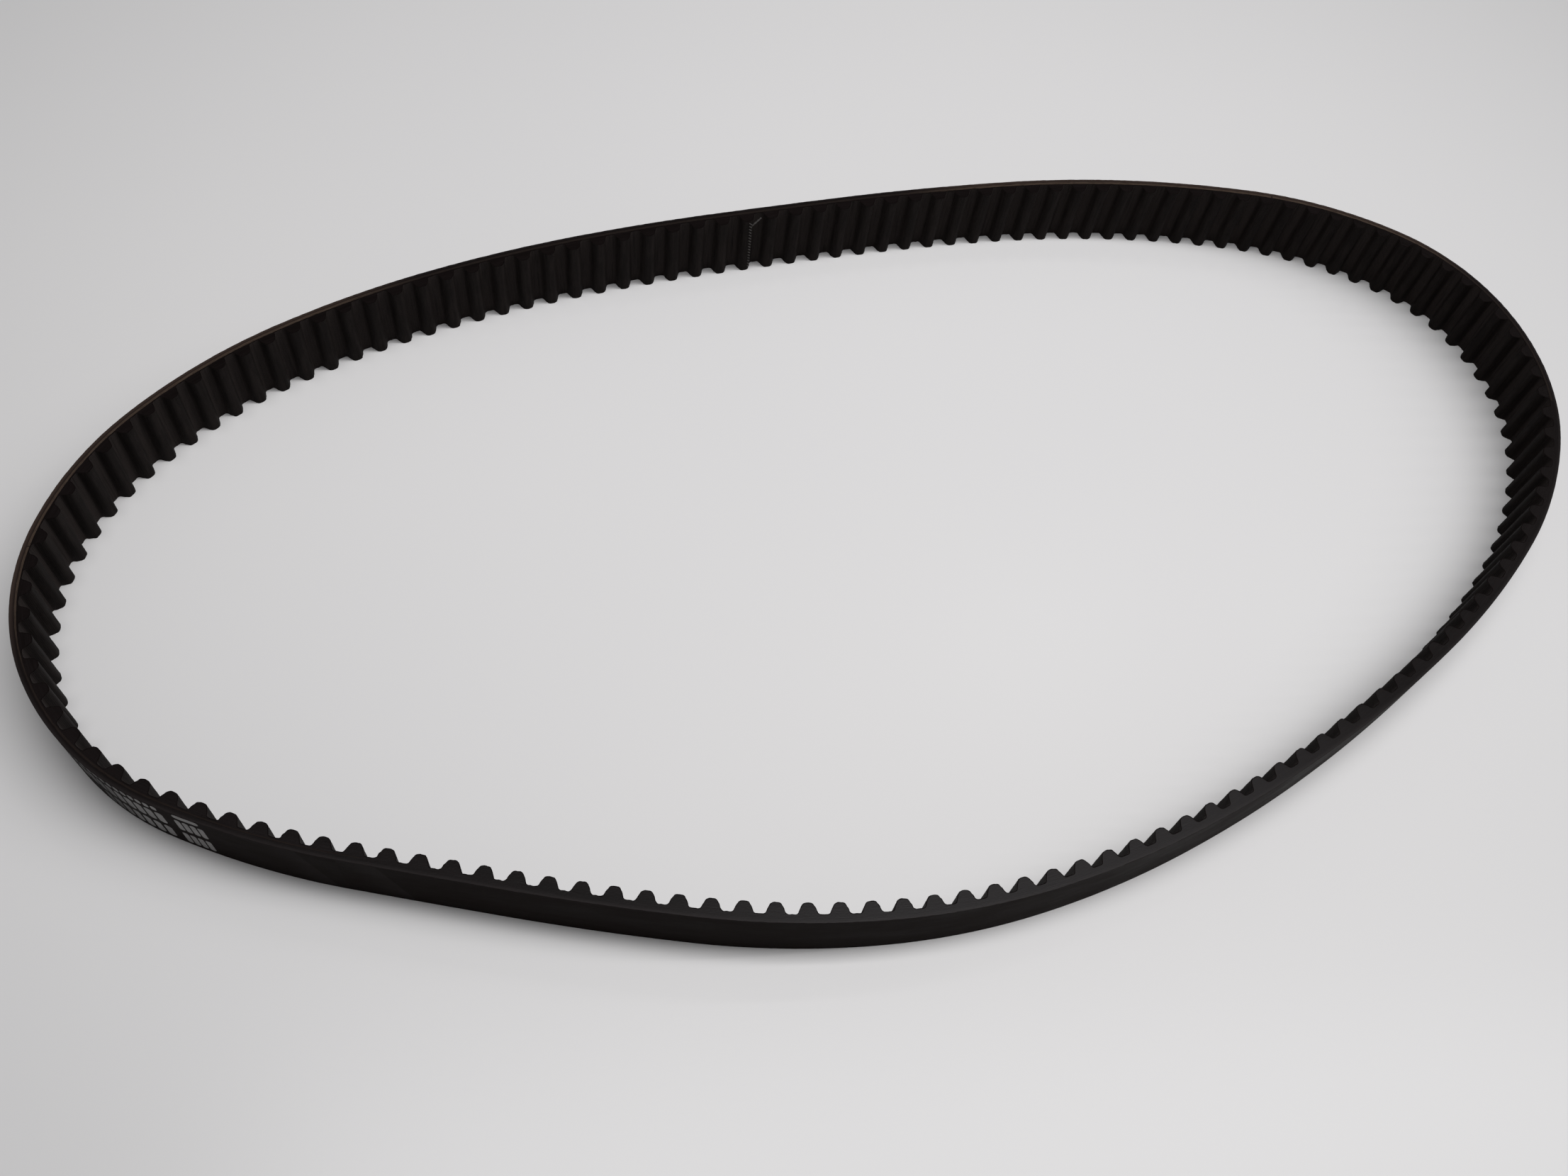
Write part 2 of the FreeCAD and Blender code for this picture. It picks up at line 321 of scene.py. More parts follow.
# pale slanting marks on the back: each fades in and stops short here
WRAP_MARKS = (753.5, 1837.5)
WRAP_SLANT = 0.35
# the cord at the upper edge is bare and tan, and tan is smeared beside it; elsewhere both are dark
BARE_RUNS = ((1206.0, 1412.0), (1560.0, 1745.0))
BARE_FADE = 35.0
# painted sheen: the upper cut edge is painted paler here, and is glossier
PAINTED_SHEEN_RUN = (790.0, 1045.0)
PAINTED_SHEEN_FADE = 90.0
# the print fades in
THIN_PRINT = (670.0, 685.0)


def rubber_back():
    """Ground and lightly polished back of the belt: fine lines along it and cloudy patches."""
    finish = Finish("rubber_back")
    clouds = finish.noise((26.0, 26.0, 9.0), 4.0, 0.6)
    lines = finish.noise((30.0, 1.0, 0.28), 3.0, 0.6)
    pores = finish.noise((0.35, 0.35, 0.35), 2.0)
    dark = finish.mix(finish.ramp(clouds, 0.3, 0.7), (0.0056, 0.0028, 0.0021), (0.0090, 0.0054, 0.0046))
    colour = finish.mix(finish.ramp(lines, 0.55, 0.8, 0.0, 0.5), dark, (0.0138, 0.0098, 0.0090))
    slanted = finish.sum("ADD", finish.along, finish.sum("MULTIPLY", finish.height, WRAP_SLANT))
    for stop in WRAP_MARKS:
        fade_in = finish.ramp(slanted, stop - 11.0, stop)
        cut_off = finish.ramp(slanted, stop, stop + 0.6, 1.0, 0.0)
        band = finish.sum("MULTIPLY", finish.sum("MULTIPLY", fade_in, cut_off), 0.45)
        colour = finish.mix(band, colour, (0.022, 0.018, 0.0175))
    finish.set("Base Color", colour)
    finish.set("Roughness", finish.ramp(clouds, 0.2, 0.8, 0.46, 0.62))
    finish.set("Specular IOR Level", 0.010)
    finish.set("Specular Tint", (1.0, 0.78, 0.72, 1.0))
    fine = finish.bump(pores, 0.012)
    finish.set("Normal", finish.bump(lines, 0.02, fine))
    return finish.material


def rubber_cut():
    """Knife-cut edge: drag lines and crumbs, a painted highlight towards the back corner, and in the runs above a
    painted sheen and a tan smear.
    """
    finish = Finish("rubber_cut")
    drag = finish.noise((7.0, 0.25, 1.0), 3.0, 0.6)
    crumbs = finish.noise((0.5, 0.5, 0.5), 3.0, 0.6)
    patches = finish.noise((30.0, 3.0, 1.0), 2.0)
    base = finish.mix(finish.ramp(patches, 0.3, 0.7), (0.0034, 0.0019, 0.0017), (0.0054, 0.0032, 0.0031))
    # painted sheen: the cut edge is painted paler and glossier along the run set above
    ink_wear_and_edge_sheen = finish.stretch(*PAINTED_SHEEN_RUN, PAINTED_SHEEN_FADE)
    base = finish.mix(finish.sum("MULTIPLY", ink_wear_and_edge_sheen, 0.8), base, (0.0115, 0.0090, 0.0092))
    colour = finish.mix(finish.ramp(drag, 0.45, 0.75, 0.0, 0.35), base, (0.0140, 0.0112, 0.0112))
    colour = finish.mix(finish.ramp(crumbs, 0.62, 0.75, 0.0, 0.4), colour, (0.0034, 0.0022, 0.0020))
    # painted highlight: the cut edge is painted paler towards the rounded back corner
    pale = finish.ramp(finish.depth, -BACK_DEPTH, -0.35, 0.6, 0.0)
    colour = finish.mix(pale, colour, (0.0200, 0.0160, 0.0158))
    smeared = finish.ramp(finish.depth, -1.2, 0.1, 0.65, 0.0)
    for begin, end in BARE_RUNS:
        tan = finish.sum("MULTIPLY", smeared, finish.stretch(begin, end, BARE_FADE))
        colour = finish.mix(tan, colour, (0.052, 0.034, 0.027))
    finish.set("Base Color", colour)
    finish.set("Roughness", 0.40)
    finish.set("Specular IOR Level", finish.ramp(ink_wear_and_edge_sheen, 0.0, 1.0, 0.075, 0.12))
    fine = finish.bump(crumbs, 0.03)
    finish.set("Normal", finish.bump(drag, 0.03, fine))
    return finish.material


def facing_cloth():
    """Woven nylon facing pressed into the teeth: ribs across the belt, finer threads, creases, and painted light on
    the lands between the teeth.
    """
    finish = Finish("facing_cloth")
    wobble = finish.sum("MULTIPLY", finish.noise((3.0, 1.0, 5.0), 2.0), 0.5)
    ribs = finish.threads(finish.sum("ADD", finish.along, wobble), 0.42)
    picks = finish.threads(finish.sum("ADD", finish.height, wobble), 0.36)
    weave = finish.sum("MULTIPLY", ribs, finish.ramp(picks, 0.0, 1.0, 0.55, 1.0))
    worn = finish.noise((2.2, 1.0, 9.0), 3.0, 0.6)
    base = finish.mix(finish.ramp(worn, 0.35, 0.7), (0.0080, 0.0058, 0.0052), (0.0150, 0.0112, 0.0102))
    colour = finish.mix(finish.ramp(weave, 0.55, 1.0, 0.0, 0.45), base, (0.0190, 0.0150, 0.0138))
    # painted light: the lands between the teeth are painted paler, lighting the gaps
    lands = finish.ramp(finish.depth, 0.75, 2.2, 0.55, 0.0)
    colour = finish.mix(lands, colour, (0.036, 0.0285, 0.0265))
    creases = finish.noise((0.5, 1.0, 16.0), 3.0, 0.6)
    finish.set("Base Color", finish.mix(finish.ramp(creases, 0.5, 0.72, 0.0, 0.55), colour, (0.0045, 0.0034, 0.0030)))
    finish.set("Roughness", 0.72)
    finish.set("Specular IOR Level", 0.06)
    finish.set("Normal", finish.bump(weave, 0.05, finish.bump(worn, 0.05)))
    return finish.material


def cloth_rim():
    """Cut edge of the facing: frayed thread ends, darker than the rubber beside them."""
    finish = Finish("cloth_rim")
    ends = finish.noise((0.3, 0.3, 0.3), 3.0, 0.7)
    frayed = finish.ramp(ends, 0.45, 0.75)
    finish.set("Base Color", finish.mix(frayed, (0.0040, 0.0027, 0.0025), (0.0085, 0.0064, 0.0060)))
    finish.set("Roughness", 0.9)
    finish.set("Specular IOR Level", 0.03)
    finish.set("Normal", finish.bump(ends, 0.04))
    return finish.material


def glass_cord():
    """Treated glass cord: tan filaments in BARE_RUNS, and elsewhere as dark as if smeared with rubber."""
    finish = Finish("glass_cord")
    filaments = finish.noise((5.0, 0.06, 0.5), 3.0, 0.65)
    tufts = finish.noise((2.4, 0.6, 1.0), 3.0, 0.6)
    bare = finish.mix(finish.ramp(filaments, 0.35, 0.7), (0.032, 0.020, 0.014), (0.078, 0.056, 0.042))
    colour = finish.mix(finish.ramp(tufts, 0.5, 0.72, 0.0, 0.75), bare, (0.020, 0.013, 0.010))
    bared = 0.0
    for begin, end in BARE_RUNS:
        bared = finish.sum("ADD", finish.stretch(begin, end, BARE_FADE), bared)
    colour = finish.mix(bared, finish.mix(0.9, colour, (0.0095, 0.0064, 0.0056)), colour)
    finish.set("Base Color", colour)
    finish.set("Roughness", 0.7)
    finish.set("Specular IOR Level", 0.08)
    finish.set("Normal", finish.bump(filaments, 0.08, finish.bump(tufts, 0.06)))
    return finish.material


def seam_thread():
    """Twisted sewing thread, off-white and a little soiled."""
    finish = Finish("seam_thread")
    fibres = finish.noise((0.35, 0.08, 0.35), 3.0, 0.6)
    soil = finish.noise((1.5, 1.0, 2.5), 2.0)
    clean = finish.mix(finish.ramp(fibres, 0.3, 0.7), (0.027, 0.023, 0.021), (0.066, 0.058, 0.053))
    finish.set("Base Color", finish.mix(finish.ramp(soil, 0.45, 0.7, 0.0, 0.7), clean, (0.026, 0.021, 0.019)))
    finish.set("Roughness", 0.75)
    finish.set("Sheen Weight", 0.15)
    finish.set("Normal", finish.bump(fibres, 0.04))
    return finish.material


def marking_ink():
    """Screen-printed marking ink, pale grey, thin and worn through in specks."""
    finish = Finish("marking_ink")
    specks = finish.noise((0.30, 1.0, 0.30), 3.0, 0.6)
    ink_wear_and_edge_sheen = finish.noise((3.0, 1.0, 2.0), 3.0)
    ink = finish.mix(finish.ramp(ink_wear_and_edge_sheen, 0.35, 0.75, 0.0, 0.6), (0.275, 0.267, 0.262), (0.140, 0.133, 0.130))
    thin = finish.ramp(finish.along, *THIN_PRINT, 0.96, 0.0)
    ink = finish.mix(thin, ink, (0.020, 0.017, 0.016))
    finish.set("Base Color", finish.mix(finish.ramp(specks, 0.60, 0.70, 0.0, 0.85), ink, (0.03, 0.026, 0.025)))
    finish.set("Roughness", 0.6)
    finish.set("Specular IOR Level", 0.3)
    finish.set("Normal", finish.bump(specks, 0.02))
    return finish.material


# The board darkens with the square of the distance from a point, per square metre.  It is fitted to the
# photo, where the lamps or the lens may be what does it.
BOARD_CENTRE = (0.0, 0.05, 0.0)
BOARD_FALL = 7.1


def bench_top():
    """Plain pale board with a slight gloss and a faint unevenness, darker away from its centre."""
    finish = Finish("bench_top")
    place = finish.node("ShaderNodeTexCoord").outputs["Object"]
    haze = finish.node("ShaderNodeTexNoise", {"Vector": place, "Scale": 2.5, "Detail": 2.0}).outputs[0]
    texture = finish.node("ShaderNodeTexNoise", {"Vector": place, "Scale": 420.0, "Detail": 2.0}).outputs[0]
    board = finish.mix(finish.ramp(haze, 0.3, 0.7), (0.790, 0.773, 0.771), (0.820, 0.800, 0.794))
    measure = finish.node("ShaderNodeVectorMath", {0: place, 1: BOARD_CENTRE}, operation="DISTANCE")
    apart = measure.outputs["Value"]
    darker = finish.sum("MULTIPLY", finish.sum("MULTIPLY", apart, apart), BOARD_FALL)
    darker = finish.sum("MINIMUM", darker, 1.0)
    finish.set("Base Color", finish.mix(darker, board, (0.600, 0.588, 0.585)))
    finish.set("Roughness", 0.24)
    finish.set("Specular IOR Level", 0.16)
    finish.set("Normal", finish.bump(texture, 0.008))
    return finish.material


BACK, CUT, CLOTH, RIM = rubber_back(), rubber_cut(), facing_cloth(), cloth_rim()
CORD, THREAD, INK = glass_cord(), seam_thread(), marking_ink()


# Tooth outline on a flat belt: x along the belt, y inwards from the cord line.

def arc_points(centre, radius, begin, end):
    return centre + radius * np.exp(1j * np.linspace(begin, end, 16))


def half_profile():
    """Outside of the facing from the middle of a tip to the middle of a land, in even steps."""
    flank_centre = complex(-FLANK_REACH, LAND_DEPTH - FLANK_DROP)
    rise = FLANK_DROP + TOOTH_HEIGHT - TIP_RADIUS
    corner = flank_centre + complex(math.sqrt((FLANK_RADIUS - TIP_RADIUS) ** 2 - rise ** 2), rise)
    rise = FLANK_DROP + ROOT_RADIUS
    fillet = flank_centre + complex(math.sqrt((FLANK_RADIUS + ROOT_RADIUS) ** 2 - rise ** 2), rise)
    lean = float(np.angle(corner - flank_centre))
    foot = float(np.angle(fillet - flank_centre))
    line = np.concatenate((
        [complex(0.0, LAND_DEPTH + TOOTH_HEIGHT)],
        arc_points(corner, TIP_RADIUS, math.pi / 2, lean),
        arc_points(flank_centre, FLANK_RADIUS, lean, foot)[1:],
        arc_points(fillet, ROOT_RADIUS, foot + math.pi, 1.5 * math.pi)[1:],
        [complex(PITCH / 2, LAND_DEPTH)],
    ))
    run = np.concatenate(([0.0], np.cumsum(np.abs(np.diff(line)))))
    even = np.linspace(0.0, run[-1], PROFILE_STEPS + 1)
    return np.interp(even, run, line.real) + 1j * np.interp(even, run, line.imag)


right_half = half_profile()
tooth_outline = np.concatenate((-right_half[:0:-1].conjugate(), right_half))
slopes = np.gradient(tooth_outline)
outward = 1j * slopes / np.abs(slopes)
tooth_underside = tooth_outline - FABRIC * outward
cloth_run = np.concatenate(([0.0], np.cumsum(np.abs(np.diff(tooth_outline)))))
CLOTH_PITCH = cloth_run[-1]


def bent(tooth, shape):
    """Flat outline points round a tooth: they keep their shape in the tooth and follow the loop on the lands."""
    rigid = loop.point(tooth, 0.0) + loop.direction(tooth) * shape
    curved = loop.point(tooth + shape.real, shape.imag)
    return curved + (rigid - curved) * smooth((shape.imag - LAND_DEPTH) / RIGID_ABOVE)


def tooth_middles(begin, end):
    return np.arange(begin + PITCH / 2, end, PITCH)


def facing(begin, end):
    """The woven facing of a stretch: its face, its underside and its cut rims."""
    shape = Shape()
    edge_rows = np.array([0.0, 0.12, 0.3, 0.6, 1.1, 1.8])
    rows = np.concatenate((edge_rows, np.linspace(2.8, WIDTH - 2.8, 13), WIDTH - edge_rows[::-1]))
    near_edge = np.exp(-np.minimum(rows, WIDTH - rows) / EDGE_REACH)
    upper_fray = np.exp(-(WIDTH - rows) / TOP_REACH)
    ends = np.array([0.0, WIDTH])
    outer, inner = [], []
    teeth = tooth_middles(begin, end)
    for number, tooth in enumerate(teeth):
        stop = None if number == len(teeth) - 1 else -1
        outline, under, normal = tooth_outline[:stop], tooth_underside[:stop], outward[:stop]
        first_run = round((tooth - PITCH / 2) / PITCH) * CLOTH_PITCH
        run = (first_run + cloth_run[:stop])[:, None]
        swell = CLOTH_SWELL * cloth_swell(run, rows) + CLOTH_EDGE_FRAY * near_edge * cloth_fray(run, rows)
        lie = bent(tooth, outline[:, None] + normal[:, None] * swell)
        distance = (tooth + outline.real)[:, None]
        height = lift(distance, rows) + CLOTH_TOP_FRAY * upper_fray * cloth_fray(run, 7.0)
        outer.append(shape.add_points(lie, height, run, outline.imag[:, None]))
        inner.append(shape.add_points(bent(tooth, under)[:, None], lift(distance, ends), run, under.imag[:, None]))
    outer, inner = np.concatenate(outer), np.concatenate(inner)
    shape.add_sheet(outer)
    shape.add_sheet(inner)
    shape.add_sheet(np.stack((outer[:, 0], inner[:, 0]), 1), 1)
    shape.add_sheet(np.stack((outer[:, -1], inner[:, -1]), 1), 1)
    for end_column in (0, -1):
        shape.add_face([*outer[end_column], inner[end_column, 1], inner[end_column, 0]], 1)
    return shape


def tooth_cores(begin, end):
    """The rubber of each tooth under the facing; only its cut ends show."""
    shape = Shape()
    widest = np.abs(tooth_underside.imag - SEAT_DEPTH) > 1e-3
    crown = tooth_underside[widest]
    seat = crown[-1].real + np.arange(1, 7) * (crown[0].real - crown[-1].real) / 7
    ring = np.concatenate((crown, seat + 1j * SEAT_DEPTH))
    ends = np.array([0.0, WIDTH])
    for tooth in tooth_middles(begin, end):
        plan = bent(tooth, ring)[:, None]
        along = (tooth + ring.real)[:, None]
        numbers = shape.add_points(plan, lift(along, ends), along, ring.imag[:, None])
        shape.add_sheet(np.concatenate((numbers, numbers[:1])))
        shape.add_face(numbers[:, 0])
        shape.add_face(numbers[:, 1])
    return shape


def back_layer(begin, end):
    """The rubber behind the teeth: moulded back, slightly nicked corners and knife-cut edges."""
    shape = Shape()
    along = np.linspace(begin, end, round(end - begin) * STEPS_PER_MM + 1)[:, None]
    nick = CORNER_NICK + NICK_RANGE * edge_nicks(along, 0.0)
    low_nick = CORNER_NICK + NICK_RANGE * edge_nicks(along, 9.0)
    face_rows = np.linspace(0.5, WIDTH - 0.5, 16)
    edge_depths = np.array([-1.1, -0.55, 0.0, SEAT_DEPTH])
    wide = np.zeros_like(along)
    depth = np.hstack((
        np.repeat(wide - BACK_DEPTH, 2 + len(face_rows), 1),
        nick - BACK_DEPTH, wide + edge_depths,
        wide + edge_depths[::-1], low_nick - BACK_DEPTH,
    ))
    height = np.hstack((
        low_nick, wide + face_rows, WIDTH - nick,
        np.repeat(wide + WIDTH, 1 + len(edge_depths), 1),
        np.repeat(wide, 1 + len(edge_depths), 1),
    ))
    ring = shape.add_points(loop.point(along, depth), lift(along, height), along, depth)
    face = len(face_rows) + 2
    upper = face + 1 + len(edge_depths)
    closed = np.hstack((ring, ring[:, :1]))
    shape.add_sheet(closed[:, :face])
    shape.add_sheet(closed[:, face - 1:upper], 1)
    shape.add_sheet(closed[:, upper - 1:upper + 1], 1)
    shape.add_sheet(closed[:, upper:], 1)
    shape.add_face(ring[0], 1)
    shape.add_face(ring[-1], 1)
    return shape


CORD_TURNS = range(-1, 20)
LEAST_SHOWN = -0.27         # a turn whose middle is further than this outside a cut edge is cut away there


def wound_cord(begin, end):
    """Every turn of the cord in a stretch; a turn that meets a cut edge is sliced off just proud of it."""
    shape = Shape()
    for turn in CORD_TURNS:
        along = np.linspace(begin, end, STEPS_PER_MM * round(end - begin) + 1)
        centre = FIRST_CORD_HEIGHT - CORD_PITCH * (turn + along / loop.length - 0.5 / len(SPANS))
        above = top_height(along) + CORD_PROUD + CORD_FUZZ * cord_fuzz(along, 2.0 * turn) - centre
        below = centre + CORD_PROUD_BELOW
        shown = (above > LEAST_SHOWN) & (below > LEAST_SHOWN)
        if shown.sum() < 8:
            continue
        buried = shown.all() and above.min() > CORD_RADIUS + 0.1 and below.min() > CORD_RADIUS + 0.1
        if buried:
            along, centre, above, below = (values[::BURIED_STEP] for values in (along, centre, above, below))
        else:
            along, centre, above, below = (values[shown] for values in (along, centre, above, below))
        add_turn(shape, along, centre, above, below)
    return shape


def add_turn(shape, along, centre, above, below):
    """One turn: a round cord with a flat, however small, where a cut edge slices it."""
    widest = math.pi / 2 - 0.25
    upper = np.arcsin(np.clip(above / CORD_RADIUS, -1.0, math.sin(widest)))
    lower = np.arcsin(np.clip(below / CORD_RADIUS, -1.0, math.sin(widest)))
    from_top = lower >= upper
    cut = np.where(from_top, upper, lower)
    share = np.linspace(0.0, 1.0, TURN_POINTS)
    angle = math.pi - cut[:, None] + share * (math.pi + 2 * cut[:, None])
    across = CORD_RADIUS * np.cos(angle)
    rise = CORD_RADIUS * np.sin(angle) * np.where(from_top, 1.0, -1.0)[:, None]
    loosened = 1.0 + 0.07 * cord_fuzz(along[:, None], across * 3)
    depth = across * loosened
    plan = loop.point(along[:, None], depth)
    ring = shape.add_points(plan, centre[:, None] + rise, along[:, None], depth)
    shape.add_sheet(np.hstack((ring, ring[:, :1])))
    shape.add_face(ring[0])
    shape.add_face(ring[-1])


def tube(shape, path, radius, sides=8):
    """A round thread along a path of (plan, height) points, closed at both ends."""
    places = np.array([(plan.real, plan.imag, height) for plan, height in path])
    heading = np.gradient(places, axis=0)
    heading /= np.linalg.norm(heading, axis=1)[:, None]
    aside = np.cross(heading, (0.0, 0.0, 1.0))
    aside /= np.linalg.norm(aside, axis=1)[:, None]
    over = np.cross(aside, heading)
    angle = np.linspace(0.0, 2 * math.pi, sides, endpoint=False)
    taper = radius * np.ones(len(places))
    taper[[0, -1]] *= 0.5
    ring = places[:, None] + taper[:, None, None] * (
        np.cos(angle)[None, :, None] * aside[:, None] + np.sin(angle)[None, :, None] * over[:, None])
    run = np.concatenate(([0.0], np.cumsum(np.linalg.norm(np.diff(places, axis=0), axis=1))))
    numbers = shape.add_points(ring[..., 0] + 1j * ring[..., 1], ring[..., 2], run[:, None], angle * radius)
    shape.add_sheet(np.hstack((numbers, numbers[:, :1])))
    shape.add_face(numbers[0])
    shape.add_face(numbers[-1])


SEAM_SPAN = 3
SEAM_TOOTH = 10
STITCHES = 16
STITCH_SPACING = 1.35
STITCH_TWIST = 5.0          # radians from a stitch's middle to either end
PLY_OFFSET = 0.07           # of each ply's centre line from the thread's
PLY_RADIUS = 0.12
SEAM_PLACE = 1.50           # from the middle of the tip round to the seam's foot
SEAM_LEAN = 0.75            # the seam's top is this much nearer to the middle
LOOSE_TWIST = 12.0          # radians over the loose end
LOOSE_OFFSET = 0.09
LOOSE_RADIUS = 0.17


def sewn_seam():
    """Whip stitches over the tip corner of one tooth, in two-ply thread, with a loose end at the top."""
    shape = Shape()
    tooth = loop.begins[2 * SEAM_SPAN] + (SEAM_TOOTH + 0.5) * PITCH
    surface = tooth_outline[:PROFILE_STEPS + 1]
    normal = outward[:PROFILE_STEPS + 1]
    run = np.concatenate(([0.0], np.cumsum(np.abs(np.diff(surface)))))
    lowest = (WIDTH - STITCH_SPACING * (STITCHES - 1)) / 2

    def on_flank(offset, height, off_surface):
        """Plan position this far round the tooth from the slightly slanting seam, standing off the facing."""
        at = run[-1] - SEAM_PLACE + SEAM_LEAN * height / WIDTH + offset
        flat = complex(np.interp(at, run, surface.real), np.interp(at, run, surface.imag))
        away = complex(np.interp(at, run, normal.real), np.interp(at, run, normal.imag))
        return complex(bent(tooth, np.array([flat + away * off_surface]))[0])

    for index in range(STITCHES):
        middle = lowest + STITCH_SPACING * index
        for ply in (0.0, math.pi):
            path = []
            for share in np.linspace(-1.0, 1.0, 17):
                twist = ply + share * STITCH_TWIST
                arch = 0.20 * (1 - share ** 4) - 0.10
                offset = 0.48 * share + PLY_OFFSET * math.cos(twist)
                height = middle + 0.62 * share
                path.append((on_flank(offset, height, arch + PLY_OFFSET * math.sin(twist)), height))
            tube(shape, path, PLY_RADIUS)
    # the loose end leaves the corner and reaches over the gap beside the tooth
    for ply in (0.0, math.pi):
        path = []
        for share in np.linspace(0.0, 1.0, 25):
            twist = ply + share * LOOSE_TWIST
            reach = -1.15 - 3.2 * share ** 1.2 + LOOSE_OFFSET * math.cos(twist)
            depth = 3.35 - 0.75 * share ** 2 + LOOSE_OFFSET * math.sin(twist)
            height = 20.3 + 2.6 * share
            path.append((complex(bent(tooth, np.array([complex(reach, depth)]))[0]), height))
        tube(shape, path, LOOSE_RADIUS)
    return shape


PRINT_SPAN = 7
INK_THICKNESS = 0.04
INK_SINK = 0.03             # its underside lies this far inside the rubber
# each row: start along the span, bar length, height of the lower edge, bar height, number of bars, step
PRINT_ROWS = (
    (24.55, 1.5, 20.0, 2.5, 12, 2.15),
    (24.5, 2.2, 11.4, 7.0, 9, 2.95),
    (29.8, 2.2, 2.2, 7.0, 7, 3.05),
    (54.0, 7.0, 20.2, 2.3, 1, 7.0),
    (53.6, 1.6, 11.4, 7.0, 4, 2.1),
    (53.3, 1.6, 2.0, 7.0, 4, 2.1),
)


def ink_bar(shape, begin, length, low, height):
    """One round-ended bar of ink lying on the back."""
    corner = min(length, height) * 0.45
    turn = np.linspace(0.0, math.pi / 2, 6)
    ends = corner * (1 - np.cos(turn))
    steps = np.concatenate((ends, np.linspace(corner, length - corner, 6)[1:-1], length - ends[::-1]))
    inset = np.concatenate((corner * (1 - np.sin(turn)), np.zeros(4), corner * (1 - np.sin(turn[::-1]))))
    share = np.array([0.0, 0.5, 1.0])
    along = (begin + steps)[:, None]
    tall = low + inset[:, None] + share * (height - 2 * inset[:, None])
    sheets = []
    for depth in (-BACK_DEPTH - INK_THICKNESS, -BACK_DEPTH + INK_SINK):
        plan = loop.point(along, depth)
        sheets.append(shape.add_points(plan, lift(along, tall), along, depth))
        shape.add_sheet(sheets[-1])
    outlines = [
        np.concatenate((sheet[:, 0], sheet[-1, 1:-1], sheet[::-1, -1], sheet[0, -2:0:-1])) for sheet in sheets]
    rim = np.stack(outlines, 1)
    shape.add_sheet(np.concatenate((rim, rim[:1])))


def printed_bars(begin, end):
    """The marks on the back whose middle lies between two distances."""
    shape = Shape()
    origin = loop.begins[2 * PRINT_SPAN]
    for start, length, low, height, count, step in PRINT_ROWS:
        for index in range(count):
            at = origin + start + step * index
            if begin <= at + length / 2 < end:
                ink_bar(shape, at, length, low, height)
    return shape


def attach(piece, stretch, kinds):
    """Rides a piece on its stretch's body when the stretch has one, else bakes it in place, and hides those kinds of
    CAD node there.
    """
    begin, end, bodies = stretch
    if len(bodies) == 1:
        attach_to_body(piece, bodies[0])
    else:
        start, stop = loop.point(begin, 0.0), loop.point(end, 0.0)
        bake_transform(piece)
    for kind in kinds:
        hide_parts(*[kind + body[-3:] for body in bodies])


def stretches():
    """(first distance, last distance, bodies) of each stretch, from the open ends all the way round."""
    opening = loop.begins[2 * OPEN_END]
    order = [(OPEN_END + step) % len(SPANS) for step in range(len(SPANS))]
    middles = [loop.begins[2 * span + 1] + (loop.length if span < OPEN_END else 0.0) for span in order]
    names = ["span_%02d" % (span + 1) for span in order]
    found = [(opening, middles[0], (names[0],))]
    for step in range(len(order) - 1):
        found.append((middles[step], middles[step + 1], (names[step], names[step + 1])))
    found.append((middles[-1], opening + loop.length, (names[-1],)))
    return found


all_stretches = stretches()
for number, stretch in enumerate(all_stretches):
    begin, end, _ = stretch
    label = "_%02d" % (number + 1)
    attach(back_layer(begin, end).make("belt_back" + label, [BACK, CUT]), stretch, ["back_rubber"])
    attach(tooth_cores(begin, end).make("belt_teeth" + label, [CUT]), stretch, ["tooth_rubber"])
    attach(facing(begin, end).make("belt_facing" + label, [CLOTH, RIM]), stretch, ["tooth_fabric"])
    attach(wound_cord(begin, end).make("belt_cord" + label, [CORD]), stretch, ["tensile_cords"])

seam_stretch = next(stretch for stretch in all_stretches if stretch[2] == ("span_04", "span_05"))
seam = sewn_seam().make("facing_seam", [THREAD], crease=60.0)
attach(seam, seam_stretch, [])
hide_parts("fabric_seam")

for number in (-2, -1):
    begin, end, _ = all_stretches[number]
    marks = printed_bars(begin - loop.length, end - loop.length).make("back_marks_%d" % (3 + number), [INK])
    attach(marks, all_stretches[number], [])
    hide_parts("printed_marks")


# Bench, light and camera, in metres
BENCH_SIDE = 8.0


def flat_square(name, side, material):
    mesh = bpy.data.meshes.new(name)
    half = side / 2
    corners = [(-half, -half, 0.0), (half, -half, 0.0), (half, half, 0.0), (-half, half, 0.0)]
    mesh.from_pydata(corners, [], [(0, 1, 2, 3)])
    mesh.materials.append(material)
    made = bpy.data.objects.new(name, mesh)
    bpy.context.scene.collection.objects.link(made)
    return made


flat_square("bench", BENCH_SIDE, bench_top())


# rows of ceiling lamps run from the left to the far right, the main one right over the belt
STRIP_HEIGHT = 1.8
STRIP_BEARING = math.radians(-10.3)
LAMP_COLOUR = (0.98, 0.99, 1.0)
ROOM_COLOUR = (0.97, 0.98, 1.0, 1.0)
ROOM_STRENGTH = 0.10


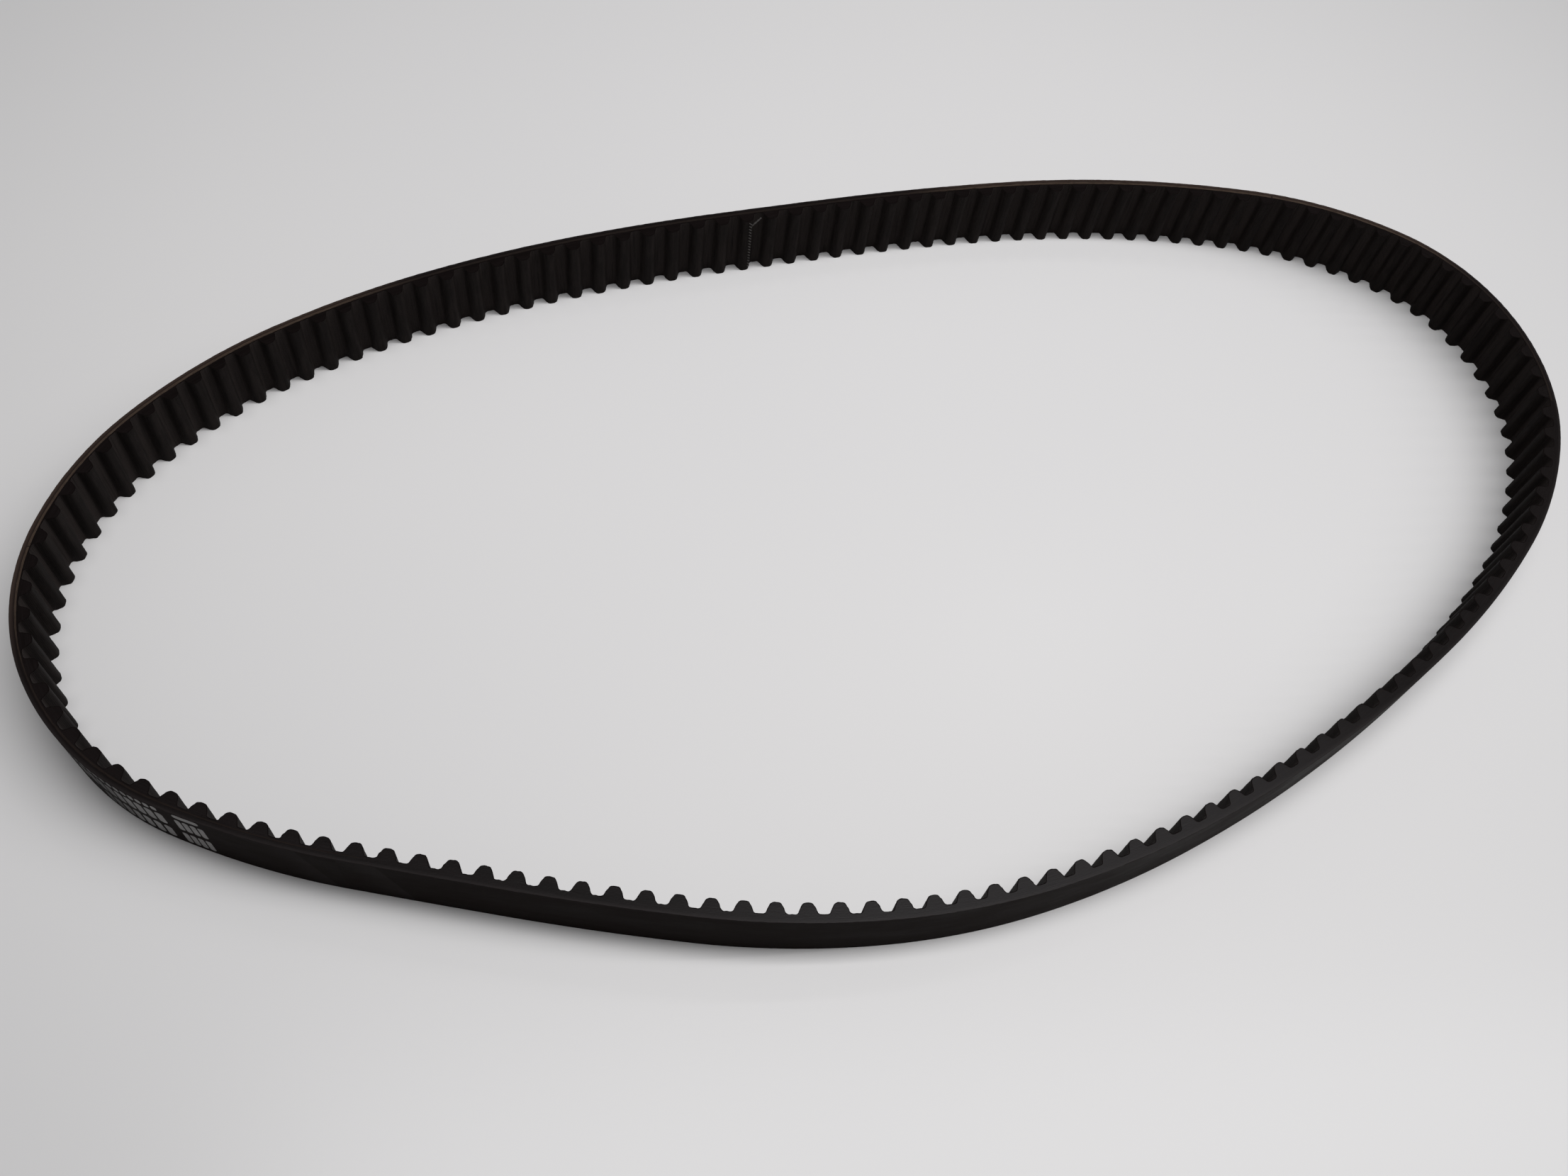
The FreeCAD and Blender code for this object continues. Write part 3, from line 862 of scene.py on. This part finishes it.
def strip_lamp(name, offset, begin, end, width, watts):
    """A lamp between two distances along a row, turned towards the belt."""
    line = complex(math.cos(STRIP_BEARING), math.sin(STRIP_BEARING))
    middle = ((begin + end) / 2 + 1j * offset) * line
    lamp = bpy.data.lights.new(name, "AREA")
    lamp.shape = "RECTANGLE"
    lamp.size = end - begin
    lamp.size_y = width
    lamp.energy = watts
    lamp.color = LAMP_COLOUR
    made = bpy.data.objects.new(name, lamp)
    made.location = (middle.real, middle.imag, STRIP_HEIGHT)
    along = Vector((line.real, line.imag, 0.0))
    beam = Vector((0, 0, STRIP_HEIGHT)) + offset * Vector((-line.imag, line.real, 0.0))
    beam.normalize()
    made.rotation_euler = Matrix((along, beam.cross(along), beam)).transposed().to_euler()
    bpy.context.scene.collection.objects.link(made)


strip_lamp("lamp_over", 0.0, -0.55, 1.90, 0.45, 34.0)
strip_lamp("lamp_over_far", 0.0, 1.95, 3.9, 0.03, 18.0)
strip_lamp("lamp_beside_near", 0.893, 0.507, 0.787, 0.03, 0.6)
strip_lamp("lamp_beside_far", 0.893, 0.974, 3.2, 0.03, 3.0)

world = bpy.data.worlds.new("room")
world.use_nodes = True
sky = world.node_tree.nodes["Background"]
sky.inputs["Color"].default_value = ROOM_COLOUR
sky.inputs["Strength"].default_value = ROOM_STRENGTH
bpy.context.scene.world = world
bpy.context.scene.view_settings.view_transform = "Standard"

CAMERA_PLACE = (-0.10979, -0.20396, 0.38296)
CAMERA_BEARING = math.radians(23.557)   # from +Y towards +X
CAMERA_DIP = math.radians(60.708)       # below the horizon
CAMERA_ROLL = math.radians(10.654)
CAMERA_LENS = 34.577

look = Vector((math.sin(CAMERA_BEARING), math.cos(CAMERA_BEARING), 0.0))
right = Vector((look.y, -look.x, 0.0))
forward = look * math.cos(CAMERA_DIP) - Vector((0, 0, math.sin(CAMERA_DIP)))
down = -look * math.sin(CAMERA_DIP) - Vector((0, 0, math.cos(CAMERA_DIP)))
camera_right = right * math.cos(CAMERA_ROLL) - down * math.sin(CAMERA_ROLL)
camera_up = -(right * math.sin(CAMERA_ROLL) + down * math.cos(CAMERA_ROLL))

lens = bpy.data.cameras.new("camera")
lens.lens = CAMERA_LENS
lens.sensor_width = 36.0
lens.clip_start = 0.01
camera = bpy.data.objects.new("camera", lens)
camera_turn = Matrix((camera_right, camera_up, -forward)).transposed().to_4x4()
camera.matrix_world = Matrix.Translation(CAMERA_PLACE) @ camera_turn
bpy.context.scene.collection.objects.link(camera)
bpy.context.scene.camera = camera
